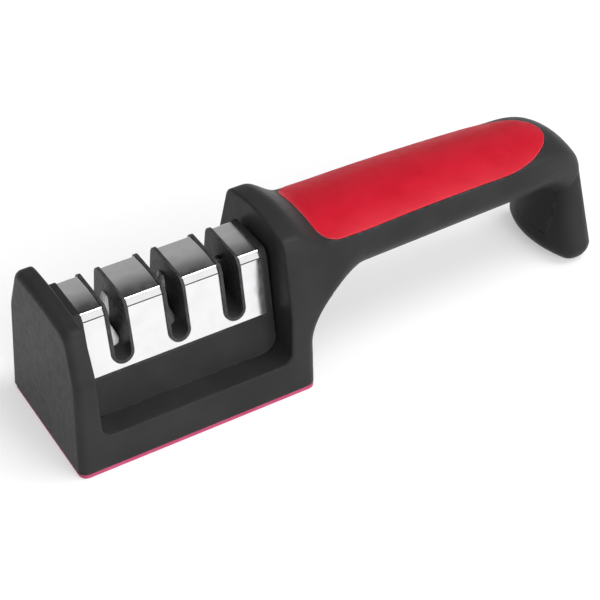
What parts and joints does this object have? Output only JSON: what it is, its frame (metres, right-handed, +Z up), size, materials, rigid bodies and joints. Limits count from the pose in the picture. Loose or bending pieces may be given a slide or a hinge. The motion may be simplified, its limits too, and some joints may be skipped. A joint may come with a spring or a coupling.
{
  "type": "pull through knife sharpener",
  "caption": "Pull through knife sharpener with a lift-out steel and plastic cartridge between two end walls and a hooked black handle with a soft red grip insert.",
  "frame": {"origin": "middle of the bounding box's underside, on the table under the nonslip pad", "axes": "+X along the length towards the hook, +Y from the front to the back, +Z up"},
  "size_m": [0.1954, 0.05, 0.0552],
  "materials": {
    "black_plastic": "fine texture",
    "liner_plastic": "satin",
    "soft_red": "satin",
    "pad_red": "matte",
    "polished_steel": "polished",
    "screw_steel": "plain",
    "ceramic": "fine ground",
    "diamond_coat": "gritted",
    "carbide": "ground"
  },
  "bodies": {
    "base": {"main_body": "black_plastic", "handle_cover": "black_plastic", "grip_insert": "soft_red", "base_plate": "black_plastic", "nonslip_pad": "pad_red", "base_screws": "screw_steel", "handle_screws": "screw_steel"},
    "cartridge": {"cartridge_frame": "black_plastic", "cartridge_base": "black_plastic", "cartridge_screws": "screw_steel", "steel_cover": "polished_steel", "fine_guide": "liner_plastic", "medium_guide": "liner_plastic", "coarse_guide": "liner_plastic", "fine_rod_front": "ceramic", "fine_rod_back": "ceramic", "medium_rod_front": "diamond_coat", "medium_rod_back": "diamond_coat", "coarse_blade_front": "carbide", "coarse_blade_back": "carbide"}
  },
  "joints": [
    {"name": "cartridge_lift", "type": "slide", "parent": "base", "child": "cartridge", "axis": [0, 0, 1], "range_m": [0, 0.04]}
  ]
}
